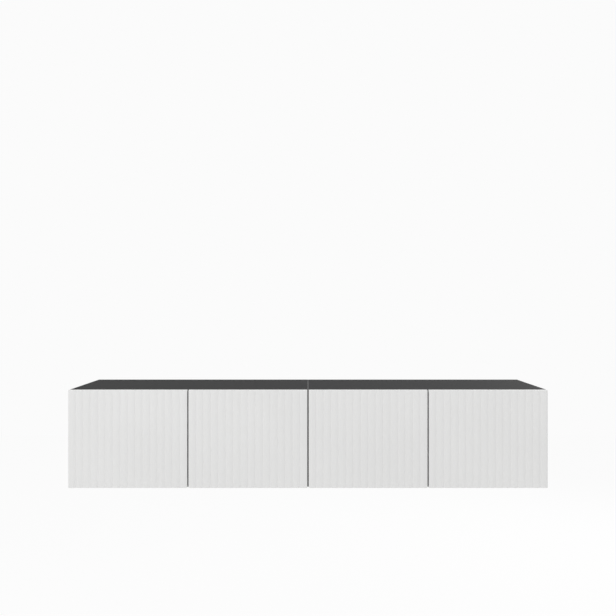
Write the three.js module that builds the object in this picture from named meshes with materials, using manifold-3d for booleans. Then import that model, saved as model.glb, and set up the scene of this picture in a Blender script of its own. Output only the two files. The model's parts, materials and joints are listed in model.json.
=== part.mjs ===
import * as THREE from 'three';
import { mergeVertices } from 'three/addons/utils/BufferGeometryUtils.js';
import Module from 'manifold-3d';

// Floating media console: two wall-hung cabinets side by side, each with two ribbed doors on concealed
// hinges, push latches, a shelf in each bay, and hangers that hook over one steel wall rail.
// Millimetres. +X is to the right as seen from the front, the fronts face -Y, the wall is the plane
// y = 0 and +Z is up. The origin is the middle of the wall rail's rear face.

// Overall sizes
const totalWidth = 1800;
const totalHeight = 367;
const totalDepth = 415;
const topAboveRail = 62;
const cabinetSeam = 0.5;

// Clearances
const glueLine = 0.1;
const fit = 0.3;
const overrun = 5;

// Carcass
const panelThickness = 18;
const backThickness = 4;
const backRecess = 18;
const grooveDepth = 8;
const cableHoleRadius = 30;
const cableHoleAboveFloor = 62;

// Doors
const doorsPerCabinet = 2;
const doorThickness = 19;
const doorGap = 4.7;
const doorStandoff = 2.5;
const ribsPerDoor = 16;
const ribDepth = 3;
const ribSteps = 6;

// Shelves and the holes of their pins
const shelfThickness = 18;
const shelfFrontSetback = 25;
const shelfRearGap = 20;
const shelfSideGap = 0.8;
const pinRadius = 2.5;
const pinInsert = 7.5;
const pinHoleDepth = 12;
const pinHolePitch = 32;
const pinHolesPerRow = 3;
const pinRowSetback = 37;
const pinRowFromShelfRear = 58.5;
const saddleLength = 8;
const saddleWidth = 12;
const saddleThickness = 3;

// Concealed hinges, seen from the hinge edge of the door and the front edge of the carcass
const hingeFromDoorEnd = 80;
const cupRadius = 17.5;
const cupWall = 1.2;
const cupDepth = 11.5;
const cupFromEdge = 22.5;
const flangeHeight = 60;
const flangeWidth = 22;
const flangeThickness = 1.1;
const cupPivotFromEdge = 12.2;
const cupPivotDepth = 6.3;
const armPivotFromEdge = 43.1;
const armPivotSetback = 16.1;
const hingePinRadius = 1.5;
const linkHalfThickness = 2;
const linkEyeRadius = 3.2;
const linkWidth = 12;
const linkBow = 16;
const linkBowShare = 0.85;
const linkSteps = 8;
const cheekThickness = 1.7;
const armHalfDepth = 4.5;
const armLength = 52;
const plateThickness = 3;
const plateHeight = 52;
const plateWidth = 22;
const plateSetback = 37;

// Push latches
const latchFromDivider = 26;
const latchWidth = 14;
const latchLength = 68;
const latchSetback = 3;
const latchWall = 3;
const lugWidth = 30;
const lugLength = 24;
const lugThickness = 2.5;
const plungerRadius = 4;
const plungerLength = 48;
const strikeThickness = 1;

// Wall rail, a steel strip with a raised lip, and its screw holes
const railThickness = 2.5;
const railHeight = 34;
const railGap = 6;
const lipHeight = 12;
const railEndGap = 14;
const railHoleRadius = 3.5;
const railHolePitch = 200;
const railHoleCount = 8;

// Hangers, one in each upper rear corner of a cabinet
const hangerWidth = 18;
const hangerLength = 48;
const hangerBelowRail = 6;
const hangerBelowTop = 6;
const hookThickness = 3;
const hookWallGap = 1.5;
const hookTipGap = 2;
const hookWindowMargin = 2;
const windowBelowNeck = 14;
const hangLift = 14;

// Bolts that join the two cabinets
const boltRadius = 4;
const boltHeadRadius = 8;
const boltHeadThickness = 2;
const boltAboveMiddle = 50;
const boltFrontSetback = 75;
const boltRearGap = 60;

// Sides of the faceted round shapes
const smallSides = 8;
const cupSides = 20;
const holeSides = 16;

// Derived places
const carcassDepth = totalDepth - doorThickness - doorStandoff;
const frontY = -carcassDepth;
const topZ = topAboveRail;
const bottomZ = topZ - totalHeight;
const middleZ = (topZ + bottomZ) / 2;
const innerTopZ = topZ - panelThickness;
const innerBottomZ = bottomZ + panelThickness;
const innerHeight = innerTopZ - innerBottomZ;
const cabinetWidth = (totalWidth - cabinetSeam) / 2;
const cabinetX = (cabinetWidth + cabinetSeam) / 2;
const innerHalfWidth = cabinetWidth / 2 - panelThickness;
const bayWidth = innerHalfWidth - panelThickness / 2;
const backFrontY = -backRecess - backThickness;
const doorCount = 2 * doorsPerCabinet;
const doorWidth = (totalWidth - (doorCount - 1) * doorGap) / doorCount;
const doorRearY = frontY - doorStandoff;
const hingeOffsetZ = totalHeight / 2 - hingeFromDoorEnd;
const shelfUnderZ = middleZ - shelfThickness / 2;
const pinZ = shelfUnderZ - saddleThickness / 2;
const shelfY = [frontY + shelfFrontSetback, backFrontY - shelfRearGap];
const pinRowY = [frontY + pinRowSetback, shelfY[1] - pinRowFromShelfRear];
const lipTopZ = railHeight / 2 + lipHeight;
const lipFrontY = -railGap - railThickness;
const neckUnderZ = lipTopZ + fit;
const neckTopZ = neckUnderZ + hookThickness;
const boltY = [frontY + boltFrontSetback, backFrontY - boltRearGap];
const boltZ = middleZ + boltAboveMiddle;

// Finishes
const finish = {
  carcass: { color: 0x3a3b3d, roughness: 0.55, metalness: 0 },
  lacquer: { color: 0xf0f1ef, roughness: 0.4, metalness: 0 },
  nickel: { color: 0xb4b5b4, roughness: 0.3, metalness: 1 },
  plastic: { color: 0x8b8d8f, roughness: 0.5, metalness: 0 },
  zinc: { color: 0x9fa4a8, roughness: 0.45, metalness: 1 },
};
const materials = Object.fromEntries(
  Object.entries(finish).map(([name, look]) => [name, new THREE.MeshStandardMaterial({ name, ...look })])
);

const wasm = await Module();
wasm.setup();
const mediaConsole = new THREE.Group();

// Two places on one axis, the lower first
function span(...ends) {
  return ends.sort((a, b) => a - b);
}

// A closed three.js geometry as a solid that can be joined or cut
function solidOf(geometry) {
  const bare = geometry.clone();
  bare.deleteAttribute('normal');
  bare.deleteAttribute('uv');
  const merged = mergeVertices(bare);
  const vertProperties = new Float32Array(merged.attributes.position.array);
  const triVerts = new Uint32Array(merged.index.array);
  return new wasm.Manifold(new wasm.Mesh({ numProp: 3, vertProperties, triVerts }));
}

function geometryOf(solid) {
  const { vertProperties, triVerts } = solid.getMesh();
  const geometry = new THREE.BufferGeometry();
  geometry.setAttribute('position', new THREE.BufferAttribute(vertProperties, 3));
  geometry.setIndex(new THREE.BufferAttribute(triVerts, 1));
  geometry.computeVertexNormals();
  return geometry;
}

// A box from its low and high corners
function block(low, high) {
  const size = high.map((value, axis) => value - low[axis]);
  const middle = high.map((value, axis) => (value + low[axis]) / 2);
  return new THREE.BoxGeometry(...size).translate(...middle);
}

// A round bar along one axis, between two places on it, through a point on the other two axes
function bar(axis, radius, from, to, at, sides) {
  const geometry = new THREE.CylinderGeometry(radius, radius, to - from, sides);
  if (axis === 'x') geometry.rotateZ(-Math.PI / 2);
  if (axis === 'z') geometry.rotateX(Math.PI / 2);
  const middle = (from + to) / 2;
  const place = {
    x: [middle, at[0], at[1]],
    y: [at[0], middle, at[1]],
    z: [at[0], at[1], middle],
  };
  return geometry.translate(...place[axis]);
}

// An outline in X and Y, raised evenly both ways from z = 0
function slab(points, height) {
  const outline = new THREE.Shape(points);
  const settings = { depth: height, bevelEnabled: false, steps: 1 };
  return new THREE.ExtrudeGeometry(outline, settings).translate(0, 0, -height / 2);
}

// An outline in Y and Z, drawn out evenly both ways from x = 0
function strip(points, length) {
  const geometry = slab(points, length);
  const toRow = new THREE.Matrix4().set(0, 0, 1, 0, 1, 0, 0, 0, 0, 1, 0, 0, 0, 0, 0, 1);
  return geometry.applyMatrix4(toRow);
}

function join(first, ...others) {
  return others.reduce((sum, other) => sum.add(solidOf(other)), solidOf(first));
}

function cut(solid, ...tools) {
  return tools.reduce((rest, tool) => rest.subtract(solidOf(tool)), solid);
}

function addPiece(name, geometry, material, parent = mediaConsole) {
  const mesh = new THREE.Mesh(geometry, materials[material]);
  mesh.name = name;
  parent.add(mesh);
  return mesh;
}

// Panels

function buildTopAndBottom(cabinet, centreX) {
  const halfWidth = cabinetWidth / 2;
  const grooveY = [backFrontY - fit, -backRecess + fit];
  const grooveHalf = innerHalfWidth + grooveDepth;
  const boards = [
    { name: `top_panel_${cabinet}`, z: topZ - panelThickness / 2, inward: -1 },
    { name: `bottom_panel_${cabinet}`, z: bottomZ + panelThickness / 2, inward: 1 },
  ];
  for (const { name, z, inward } of boards) {
    const half = panelThickness / 2;
    const board = block([-halfWidth, frontY, -half], [halfWidth, 0, half]);
    const grooveEnds = span(inward * (half - grooveDepth), inward * (half + overrun));
    const groove = block([-grooveHalf, grooveY[0], grooveEnds[0]], [grooveHalf, grooveY[1], grooveEnds[1]]);
    addPiece(name, geometryOf(cut(solidOf(board), groove)), 'carcass').position.set(centreX, 0, z);
  }
}

function pinHoles(from, to) {
  const radius = pinRadius + fit;
  const holes = [];
  for (const y of pinRowY) {
    for (let row = 0; row < pinHolesPerRow; row += 1) {
      const z = pinZ - middleZ + (row - (pinHolesPerRow - 1) / 2) * pinHolePitch;
      holes.push(bar('x', radius, from, to, [y, z], smallSides));
    }
  }
  return holes;
}

// Each side panel is built with its bay face towards +X or -X, given by inward
function buildSide(name, x, inward, isInner) {
  const half = panelThickness / 2;
  const halfHeight = innerHeight / 2 - glueLine;
  const board = block([-half, frontY, -halfHeight], [half, 0, halfHeight]);
  const grooveX = span(inward * (half - grooveDepth), inward * (half + overrun));
  const holeX = span(inward * (half - pinHoleDepth), inward * (half + overrun));
  const groove = block(
    [grooveX[0], backFrontY - fit, -halfHeight - overrun],
    [grooveX[1], -backRecess + fit, halfHeight + overrun]
  );
  const tools = [groove, ...pinHoles(...holeX)];
  if (isInner) {
    const notchDepth = lipFrontY - fit;
    const notchLow = -railHeight / 2 - hangLift - middleZ;
    const notchHigh = lipTopZ + fit - middleZ;
    tools.push(block([-half - overrun, notchDepth, notchLow], [half + overrun, overrun, notchHigh]));
    const boltHole = boltRadius + fit;
    const reach = half + overrun;
    for (const y of boltY) {
      tools.push(bar('x', boltHole, -reach, reach, [y, boltAboveMiddle], smallSides));
    }
  }
  addPiece(name, geometryOf(cut(solidOf(board), ...tools)), 'carcass').position.set(x, 0, middleZ);
}

function buildDivider(cabinet, centreX) {
  const half = panelThickness / 2;
  const halfHeight = innerHeight / 2 - glueLine;
  const board = block([-half, frontY, -halfHeight], [half, backFrontY - glueLine, halfHeight]);
  const holes = pinHoles(-half - overrun, half + overrun);
  addPiece(`divider_${cabinet}`, geometryOf(cut(solidOf(board), ...holes)), 'carcass')
    .position.set(centreX, 0, middleZ);
}

function buildBack(cabinet, centreX) {
  const halfWidth = innerHalfWidth + grooveDepth - fit;
  const halfHeight = innerHeight / 2 + grooveDepth - fit;
  const sheet = block([-halfWidth, backFrontY, -halfHeight], [halfWidth, -backRecess, halfHeight]);
  const tools = [];
  for (const side of [-1, 1]) {
    const bayX = side * (panelThickness + bayWidth) / 2;
    const holeZ = innerBottomZ + cableHoleAboveFloor - middleZ;
    const reach = [backFrontY - overrun, -backRecess + overrun];
    tools.push(bar('y', cableHoleRadius, ...reach, [bayX, holeZ], holeSides));
    const windowWidth = hangerWidth + 2 * hookWindowMargin;
    const windowX = span(side * (innerHalfWidth - windowWidth), side * innerHalfWidth);
    const windowZ = [neckUnderZ - windowBelowNeck - middleZ, neckTopZ + hookWindowMargin - middleZ];
    tools.push(block([windowX[0], reach[0], windowZ[0]], [windowX[1], reach[1], windowZ[1]]));
  }
  addPiece(`back_panel_${cabinet}`, geometryOf(cut(solidOf(sheet), ...tools)), 'carcass')
    .position.set(centreX, 0, middleZ);
}

// A shelf with its four support pins
function buildShelf(name, x) {
  const halfWidth = bayWidth / 2 - shelfSideGap;
  const board = block([-halfWidth, shelfY[0], 0], [halfWidth, shelfY[1], shelfThickness]);
  const supports = [];
  for (const side of [-1, 1]) {
    const saddleX = span(side * (halfWidth - saddleLength), side * halfWidth);
    const pinX = span(side * (halfWidth - saddleLength), side * (bayWidth / 2 + pinInsert));
    for (const y of pinRowY) {
      const saddleY = [y - saddleWidth / 2, y + saddleWidth / 2];
      const low = [saddleX[0], saddleY[0], -saddleThickness];
      supports.push(block(low, [saddleX[1], saddleY[1], shelfThickness / 2]));
      supports.push(bar('x', pinRadius, ...pinX, [y, -saddleThickness / 2], smallSides));
    }
  }
  addPiece(name, geometryOf(join(board, ...supports)), 'carcass').position.set(x, 0, shelfUnderZ);
}

// Doors and hinges are built as left-hinged, from the hinge edge, and turned half a turn about Y for
// the other hand: they are alike above and below their middle.

// One rib's height over its groove at a share of its half width from the middle: a shallow arc
function ribHeight(share) {
  return ribDepth * (1 - share ** 2);
}

function ribbedOutline() {
  const rearY = -doorStandoff;
  const grooveY = rearY - doorThickness + ribDepth;
  const ribWidth = doorWidth / ribsPerDoor;
  const points = [new THREE.Vector2(doorWidth, rearY), new THREE.Vector2(0, rearY)];
  for (let rib = 0; rib < ribsPerDoor; rib += 1) {
    for (let step = 0; step < ribSteps; step += 1) {
      const share = (2 * step) / ribSteps - 1;
      const x = (rib + step / ribSteps) * ribWidth;
      points.push(new THREE.Vector2(x, grooveY - ribHeight(share)));
    }
  }
  points.push(new THREE.Vector2(doorWidth, grooveY));
  return points;
}

function doorGeometry() {
  const bores = [-hingeOffsetZ, hingeOffsetZ].map((z) => {
    const rearY = -doorStandoff;
    const floorY = rearY - cupDepth - fit;
    return bar('y', cupRadius + fit, floorY, rearY + overrun, [cupFromEdge, z], cupSides);
  });
  return geometryOf(cut(solidOf(slab(ribbedOutline(), totalHeight)), ...bores));
}

function cupGeometry() {
  const seatY = -doorStandoff + fit;
  const faceY = seatY + flangeThickness;
  const floorY = -doorStandoff - cupDepth;
  const centre = [cupFromEdge, 0];
  const shell = bar('y', cupRadius, floorY, seatY + flangeThickness / 2, centre, cupSides);
  const flange = block(
    [cupFromEdge - flangeWidth / 2, seatY, -flangeHeight / 2],
    [cupFromEdge + flangeWidth / 2, faceY, flangeHeight / 2]
  );
  const rim = bar('y', cupRadius, seatY, faceY, centre, cupSides);
  const hollow = bar('y', cupRadius - cupWall, floorY + cupWall, faceY + overrun, centre, cupSides);
  const pinOffset = cupFromEdge - cupPivotFromEdge;
  const pinHalf = Math.sqrt((cupRadius - cupWall / 2) ** 2 - (pinOffset + hingePinRadius) ** 2);
  const pinPlace = [cupPivotFromEdge, -doorStandoff - cupPivotDepth];
  const pin = bar('z', hingePinRadius, -pinHalf, pinHalf, pinPlace, smallSides);
  return geometryOf(cut(join(shell, flange, rim), hollow).add(solidOf(pin)));
}

// The link bows from the arm's pivot through the cup's mouth to the cup's pivot
function linkGeometry() {
  const armPivot = new THREE.Vector2(armPivotFromEdge, armPivotSetback);
  const cupPivot = new THREE.Vector2(cupPivotFromEdge, -doorStandoff - cupPivotDepth);
  const along = cupPivot.clone().sub(armPivot);
  const across = new THREE.Vector2(along.y, -along.x).normalize();
  const bowPoint = armPivot.clone().addScaledVector(along, linkBowShare).addScaledVector(across, -linkBow);
  const line = new THREE.QuadraticBezierCurve(armPivot, bowPoint, cupPivot);
  const outer = [];
  const inner = [];
  for (let step = 0; step <= linkSteps; step += 1) {
    const share = step / linkSteps;
    const point = line.getPoint(share);
    const tangent = line.getTangent(share);
    const normal = new THREE.Vector2(-tangent.y, tangent.x);
    outer.push(point.clone().addScaledVector(normal, linkHalfThickness));
    inner.unshift(point.clone().addScaledVector(normal, -linkHalfThickness));
  }
  const half = linkWidth / 2;
  const eyes = [armPivot, cupPivot].map((pivot) => {
    return bar('z', linkEyeRadius, -half, half, pivot.toArray(), smallSides);
  });
  const holes = [armPivot, cupPivot].map((pivot) => {
    const reach = half + overrun;
    return bar('z', hingePinRadius + fit, -reach, reach, pivot.toArray(), smallSides);
  });
  return geometryOf(cut(join(slab([...outer, ...inner], linkWidth), ...eyes), ...holes));
}

// The arm with its mounting plate, from the side panel's bay face out to the pivot
function armGeometry(sideFace) {
  const armX = [armPivotFromEdge - armHalfDepth, armPivotFromEdge + armHalfDepth];
  const armHalfWidth = linkWidth / 2 + fit + cheekThickness;
  const bodyFront = armPivotSetback + linkEyeRadius + fit;
  const cheekFront = armPivotSetback - armHalfDepth;
  const bodyRear = bodyFront + armLength;
  const plateX = [sideFace + glueLine, sideFace + glueLine + plateThickness];
  const arm = block([armX[0], bodyFront, -armHalfWidth], [armX[1], bodyRear, armHalfWidth]);
  const cheeks = [-1, 1].map((side) => {
    const z = span(side * (armHalfWidth - cheekThickness), side * armHalfWidth);
    return block([armX[0], cheekFront, z[0]], [armX[1], bodyFront + overrun, z[1]]);
  });
  const pedestal = block(
    [plateX[0], plateSetback - plateWidth / 2, -linkWidth / 2],
    [armX[1] - cheekThickness, bodyRear - plateWidth / 2, linkWidth / 2]
  );
  const plate = block(
    [plateX[0], plateSetback - plateWidth / 2, -plateHeight / 2],
    [plateX[1], plateSetback + plateWidth / 2, plateHeight / 2]
  );
  const reach = armHalfWidth - cheekThickness / 2;
  const pin = bar('z', hingePinRadius, -reach, reach, [armPivotFromEdge, armPivotSetback], smallSides);
  return geometryOf(join(arm, ...cheeks, pedestal, plate, pin));
}

function buildDoor(number) {
  const isLeftHinged = number % 2 === 1;
  const leftX = -totalWidth / 2 + (number - 1) * (doorWidth + doorGap);
  const isOuter = number === 1 || number === doorCount;
  const sideFace = isOuter ? panelThickness : cabinetSeam / 2 + panelThickness - doorGap / 2;
  const hung = new THREE.Group();
  hung.position.set(isLeftHinged ? leftX : leftX + doorWidth, frontY, middleZ);
  hung.rotation.y = isLeftHinged ? 0 : Math.PI;
  mediaConsole.add(hung);
  addPiece(`door_${number}`, doorGeometry(), 'lacquer', hung);
  for (const level of ['upper', 'lower']) {
    const isUp = level === 'upper';
    const z = isUp === isLeftHinged ? hingeOffsetZ : -hingeOffsetZ;
    addPiece(`hinge_cup_${number}_${level}`, cupGeometry(), 'nickel', hung).position.z = z;
    addPiece(`hinge_link_${number}_${level}`, linkGeometry(), 'nickel', hung).position.z = z;
    addPiece(`hinge_arm_${number}_${level}`, armGeometry(sideFace), 'nickel', hung).position.z = z;
  }
}

// The latch of a door sits under the top panel, beside the divider
function buildLatch(number) {
  const cabinetSide = number > doorsPerCabinet ? 1 : -1;
  const doorSide = number % 2 === 1 ? -1 : 1;
  const x = cabinetSide * cabinetX + doorSide * (panelThickness / 2 + latchFromDivider);
  const half = latchWidth / 2;
  const roof = innerTopZ - glueLine;
  const middle = -half;
  const frontFace = frontY + latchSetback;
  const boreRadius = plungerRadius + fit;
  const housing = block([-half, frontFace, -latchWidth], [half, frontFace + latchLength, 0]);
  const lugY = frontFace + latchLength / 2;
  const lug = block(
    [-lugWidth / 2, lugY - lugLength / 2, -lugThickness],
    [lugWidth / 2, lugY + lugLength / 2, 0]
  );
  const boreEnd = frontFace + latchLength - latchWall;
  const bore = bar('y', boreRadius, frontFace - overrun, boreEnd, [0, middle], holeSides);
  addPiece(`latch_housing_${number}`, geometryOf(cut(join(housing, lug), bore)), 'plastic')
    .position.set(x, 0, roof);
  const tipY = doorRearY + strikeThickness + fit;
  const plunger = bar('y', plungerRadius, 0, plungerLength, [0, middle], holeSides);
  addPiece(`latch_plunger_${number}`, plunger, 'plastic').position.set(x, tipY, roof);
}

// Wall hardware

function buildRail() {
  const half = railHeight / 2;
  const points = [
    [0, -half],
    [0, half],
    [-railGap, half],
    [-railGap, lipTopZ],
    [lipFrontY, lipTopZ],
    [lipFrontY, half - railThickness],
    [-railThickness, half - railThickness],
    [-railThickness, -half],
  ].map(([y, z]) => new THREE.Vector2(y, z));
  const length = totalWidth - 2 * panelThickness - 2 * railEndGap;
  const holes = Array.from({ length: railHoleCount }, (_, index) => {
    const x = (index - (railHoleCount - 1) / 2) * railHolePitch;
    return bar('y', railHoleRadius, -railThickness - overrun, overrun, [x, 0], smallSides);
  });
  addPiece('wall_rail', geometryOf(cut(solidOf(strip(points, length)), ...holes)), 'zinc');
}

function buildHanger(name, x) {
  const bodyY = [backFrontY - fit - hangerLength, backFrontY - fit];
  const hookY = [-hookWallGap - hookThickness, -hookWallGap];
  const low = -railHeight / 2 + hangerBelowRail;
  const high = innerTopZ - hangerBelowTop;
  const points = [
    [bodyY[0], low],
    [bodyY[1], low],
    [bodyY[1], neckUnderZ],
    [hookY[0], neckUnderZ],
    [hookY[0], railHeight / 2 + hookTipGap],
    [hookY[1], railHeight / 2 + hookTipGap],
    [hookY[1], neckTopZ],
    [bodyY[1], neckTopZ],
    [bodyY[1], high],
    [bodyY[0], high],
  ].map(([y, z]) => new THREE.Vector2(y, z));
  addPiece(name, strip(points, hangerWidth), 'zinc').position.x = x;
}

function buildBolt(name, y) {
  const faceX = cabinetSeam / 2 + panelThickness + glueLine;
  const shank = bar('x', boltRadius, -faceX - overrun / 2, faceX + overrun / 2, [0, 0], smallSides);
  const heads = [-1, 1].map((side) => {
    const x = span(side * faceX, side * (faceX + boltHeadThickness));
    return bar('x', boltHeadRadius, ...x, [0, 0], holeSides);
  });
  addPiece(name, geometryOf(join(shank, ...heads)), 'nickel').position.set(0, y, boltZ);
}

// Both cabinets
for (const [cabinet, side] of [['left', -1], ['right', 1]]) {
  const centreX = side * cabinetX;
  const sideX = cabinetWidth / 2 - panelThickness / 2;
  buildTopAndBottom(cabinet, centreX);
  buildSide(`side_panel_${cabinet}_outer`, centreX + side * sideX, -side, false);
  buildSide(`side_panel_${cabinet}_inner`, centreX - side * sideX, side, true);
  buildDivider(cabinet, centreX);
  buildBack(cabinet, centreX);
  for (const [place, out] of [['outer', 1], ['inner', -1]]) {
    const bayX = centreX + side * out * (panelThickness + bayWidth) / 2;
    buildShelf(`shelf_${cabinet}_${place}`, bayX);
    const hangerX = innerHalfWidth - glueLine - hangerWidth / 2;
    buildHanger(`hanger_${cabinet}_${place}`, centreX + side * out * hangerX);
  }
}
for (let number = 1; number <= doorCount; number += 1) {
  buildDoor(number);
  buildLatch(number);
}
buildRail();
buildBolt('cabinet_bolt_front', boltY[0]);
buildBolt('cabinet_bolt_rear', boltY[1]);

export default mediaConsole;
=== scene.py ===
import json
import math

import bmesh
import bpy
import numpy as np
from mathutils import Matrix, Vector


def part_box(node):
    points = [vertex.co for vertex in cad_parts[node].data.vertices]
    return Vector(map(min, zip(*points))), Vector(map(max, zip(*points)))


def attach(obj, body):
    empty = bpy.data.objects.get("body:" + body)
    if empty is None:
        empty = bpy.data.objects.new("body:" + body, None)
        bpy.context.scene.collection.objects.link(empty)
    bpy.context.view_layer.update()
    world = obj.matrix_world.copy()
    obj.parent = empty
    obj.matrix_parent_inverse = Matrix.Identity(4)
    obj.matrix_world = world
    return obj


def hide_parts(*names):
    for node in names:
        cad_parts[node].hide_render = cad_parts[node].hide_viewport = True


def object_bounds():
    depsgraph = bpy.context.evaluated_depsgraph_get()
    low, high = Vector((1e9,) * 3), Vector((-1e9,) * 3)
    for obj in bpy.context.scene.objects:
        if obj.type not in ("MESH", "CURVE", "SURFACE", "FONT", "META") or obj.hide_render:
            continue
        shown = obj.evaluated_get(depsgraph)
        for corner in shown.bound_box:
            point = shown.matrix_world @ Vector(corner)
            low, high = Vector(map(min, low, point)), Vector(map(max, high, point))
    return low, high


# Floating media console: ribbed white doors on two charcoal cabinets that hang on one wall rail.
# Metres, +X right as seen from the front, fronts towards -Y, +Z up.

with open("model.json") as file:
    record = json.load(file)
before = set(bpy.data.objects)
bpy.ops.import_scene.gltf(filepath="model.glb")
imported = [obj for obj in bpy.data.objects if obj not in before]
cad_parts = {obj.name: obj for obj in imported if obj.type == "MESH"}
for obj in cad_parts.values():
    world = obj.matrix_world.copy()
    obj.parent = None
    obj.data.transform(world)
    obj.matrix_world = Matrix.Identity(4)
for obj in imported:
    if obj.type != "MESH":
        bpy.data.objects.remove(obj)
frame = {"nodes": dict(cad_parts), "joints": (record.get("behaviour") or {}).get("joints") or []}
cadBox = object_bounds()
nodeBox = {name: tuple(np.array(corner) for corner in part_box(name)) for name in frame["nodes"]}
jointPlace = {j["name"]: np.array(j["pos_m"]) for j in frame["joints"] if "pos_m" in j}
jointSide = {j["name"]: -j["axis"][2] for j in frame["joints"] if "pos_m" in j}  # 1 is left-hinged
cabinets = ("left", "right")
bays = ("outer", "inner")
levels = ("upper", "lower")
doorNumbers = (1, 2, 3, 4)
mm = 0.001
slack = 0.3 * mm  # room between parts that turn in one another, slide or hook on
print("stage 1: frame loaded,", len(frame["nodes"]), "nodes")

# Camera

view = dict(distance=2.790, aboveTop=0.308, lens=43.5, sensor=36.0)


def buildCamera():
    low, high = cadBox
    data = bpy.data.cameras.new("photoCamera")
    data.lens = view["lens"]
    data.sensor_width = view["sensor"]
    camera = bpy.data.objects.new("photoCamera", data)
    camera.location = (0, low.y - view["distance"], high.z + view["aboveTop"])
    camera.rotation_euler = (math.pi / 2, 0, 0)
    bpy.context.scene.collection.objects.link(camera)
    bpy.context.scene.camera = camera


buildCamera()

# Surfaces: each is its points and a list of arrays of faces


# Vertex (r, c) of a grid is number r * columns + c, and each face joins it to its next neighbours
def gridFaces(rows, columns, wrapRows=False, wrapColumns=False):
    r, c = np.meshgrid(
        np.arange(rows if wrapRows else rows - 1),
        np.arange(columns if wrapColumns else columns - 1),
        indexing="ij",
    )
    nextRow, nextColumn = (r + 1) % rows, (c + 1) % columns
    here, there = r * columns, nextRow * columns
    return np.stack([here + c, here + nextColumn, there + nextColumn, there + c], axis=-1).reshape(-1, 4)


# A grid whose rows are closed rings, with a flat face over the first ring and over the last one
def cappedTube(surface):
    rows, columns = surface.shape[:2]
    ring = np.arange(columns)
    caps = [ring[None, ::-1], ring[None] + (rows - 1) * columns]
    return surface.reshape(-1, 3), [gridFaces(rows, columns, wrapColumns=True), *caps]


# Outline coordinates (p, q) and the way along, s, in the order of X, Y and Z for a given axis
def placed(p, q, s, axis):
    order = {"x": (s, p, q), "y": (p, s, q), "z": (p, q, s)}[axis]
    return np.stack(np.broadcast_arrays(*order), axis=-1)


# Each corner becomes an arc: its centre lies one radius inside both sides, and the arc's normal
# turns evenly from one side's normal to the next side's. Gives the points and their normals.
def roundOutline(points, radius, steps=5):
    corner = np.asarray(points, float)
    arriving = corner - np.roll(corner, 1, axis=0)
    arriving /= np.linalg.norm(arriving, axis=1, keepdims=True)
    leaving = np.roll(arriving, -1, axis=0)
    cross = arriving[:, 0] * leaving[:, 1] - arriving[:, 1] * leaving[:, 0]
    turn = np.arctan2(cross, (arriving * leaving).sum(1))
    radius = np.broadcast_to(radius, turn.shape)
    side = np.sign(turn)[:, None]
    normal = np.stack([arriving[:, 1], -arriving[:, 0]], axis=1)
    start = corner - arriving * (radius * np.tan(np.abs(turn) / 2))[:, None]
    centre = start - side * radius[:, None] * normal
    angle = np.arctan2(normal[:, 1], normal[:, 0])[:, None] + turn[:, None] * np.linspace(0, 1, steps)
    ways = np.stack([np.cos(angle), np.sin(angle)], axis=-1)
    arcs = centre[:, None] + side[:, None] * radius[:, None, None] * ways
    return arcs.reshape(-1, 2), ways.reshape(-1, 2)


def rectangle(lowP, highP, lowQ, highQ):
    return [(lowP, lowQ), (highP, lowQ), (highP, highQ), (lowP, highQ)]


# A regular outline's corners, at even angles round its centre, and their normals
def regular(centre, radius, sides):
    angle = np.arange(sides) * 2 * np.pi / sides
    ways = np.stack([np.cos(angle), np.sin(angle)], axis=1)
    return np.asarray(centre) + radius * ways, ways


# The outline carried along an axis from low to high. Near each end it shrinks by
# edge * (1 - cos t) while it moves on by edge * sin t, so the end's edge is a quarter round.
def drawnOut(outline, low, high, edge, axis, steps=4):
    points, normals = outline
    t = np.linspace(0, np.pi / 2, steps)
    shrink = edge * (1 - np.cos(t))
    rise = edge * np.sin(t)
    shrink = np.concatenate([shrink[::-1], shrink])[:, None, None]
    along = np.concatenate([low + edge - rise[::-1], high - edge + rise])[:, None]
    rings = points[None] - shrink * normals[None]
    return cappedTube(placed(rings[..., 0], rings[..., 1], along, axis))


# A section (radius, along) turned about an axis through centre; it starts and ends on the axis,
# or closes on itself
def turned(section, centre, axis, steps=32, closed=False):
    section = np.asarray(section, float)
    angle = np.arange(steps) * 2 * np.pi / steps
    p = section[:, :1] * np.cos(angle)
    q = section[:, :1] * np.sin(angle)
    surface = placed(p, q, section[:, 1:], axis) + np.asarray(centre)
    return surface.reshape(-1, 3), [gridFaces(len(section), steps, closed, True)]


# A rod's section: flat ends with quarter-round edges
def rodSection(radius, low, high, edge, steps=4):
    t = np.linspace(0, np.pi / 2, steps)
    lowEnd = np.stack([radius - edge + edge * np.sin(t), low + edge - edge * np.cos(t)], axis=1)
    highEnd = np.stack([radius - edge + edge * np.cos(t), high - edge + edge * np.sin(t)], axis=1)
    return np.concatenate([[[0, low]], lowEnd, highEnd, [[0, high]]])


def rod(centre, axis, radius, low, high, edge=0.3 * mm, steps=32):
    return turned(rodSection(radius, low, high, edge), centre, axis, steps)


# A box with quarter-round edges: its rectangle carried along the axis
def board(low, high, edge, axis, steps=4):
    p, q = [i for i in range(3) if "xyz"[i] != axis]
    along = "xyz".index(axis)
    outline = roundOutline(rectangle(low[p], high[p], low[q], high[q]), edge, steps)
    return drawnOut(outline, low[along], high[along], edge, axis, steps)


# What cuts a hole or a groove: nearly sharp, and it reaches past the faces that it opens
cutter = dict(edge=0.05 * mm, edgeSteps=2, overrun=4 * mm)


def boreShell(centre, axis, radius, low, high, steps):
    return rod(centre, axis, radius, low, high, cutter["edge"], steps)


def grooveShell(low, high):
    outline = roundOutline(rectangle(low[0], high[0], low[1], high[1]), cutter["edge"], cutter["edgeSteps"])
    return drawnOut(outline, low[2], high[2], cutter["edge"], "z", cutter["edgeSteps"])


# Making pieces

shading = dict(sharpDegrees=40, weight=80, merge=1e-7)


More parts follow.
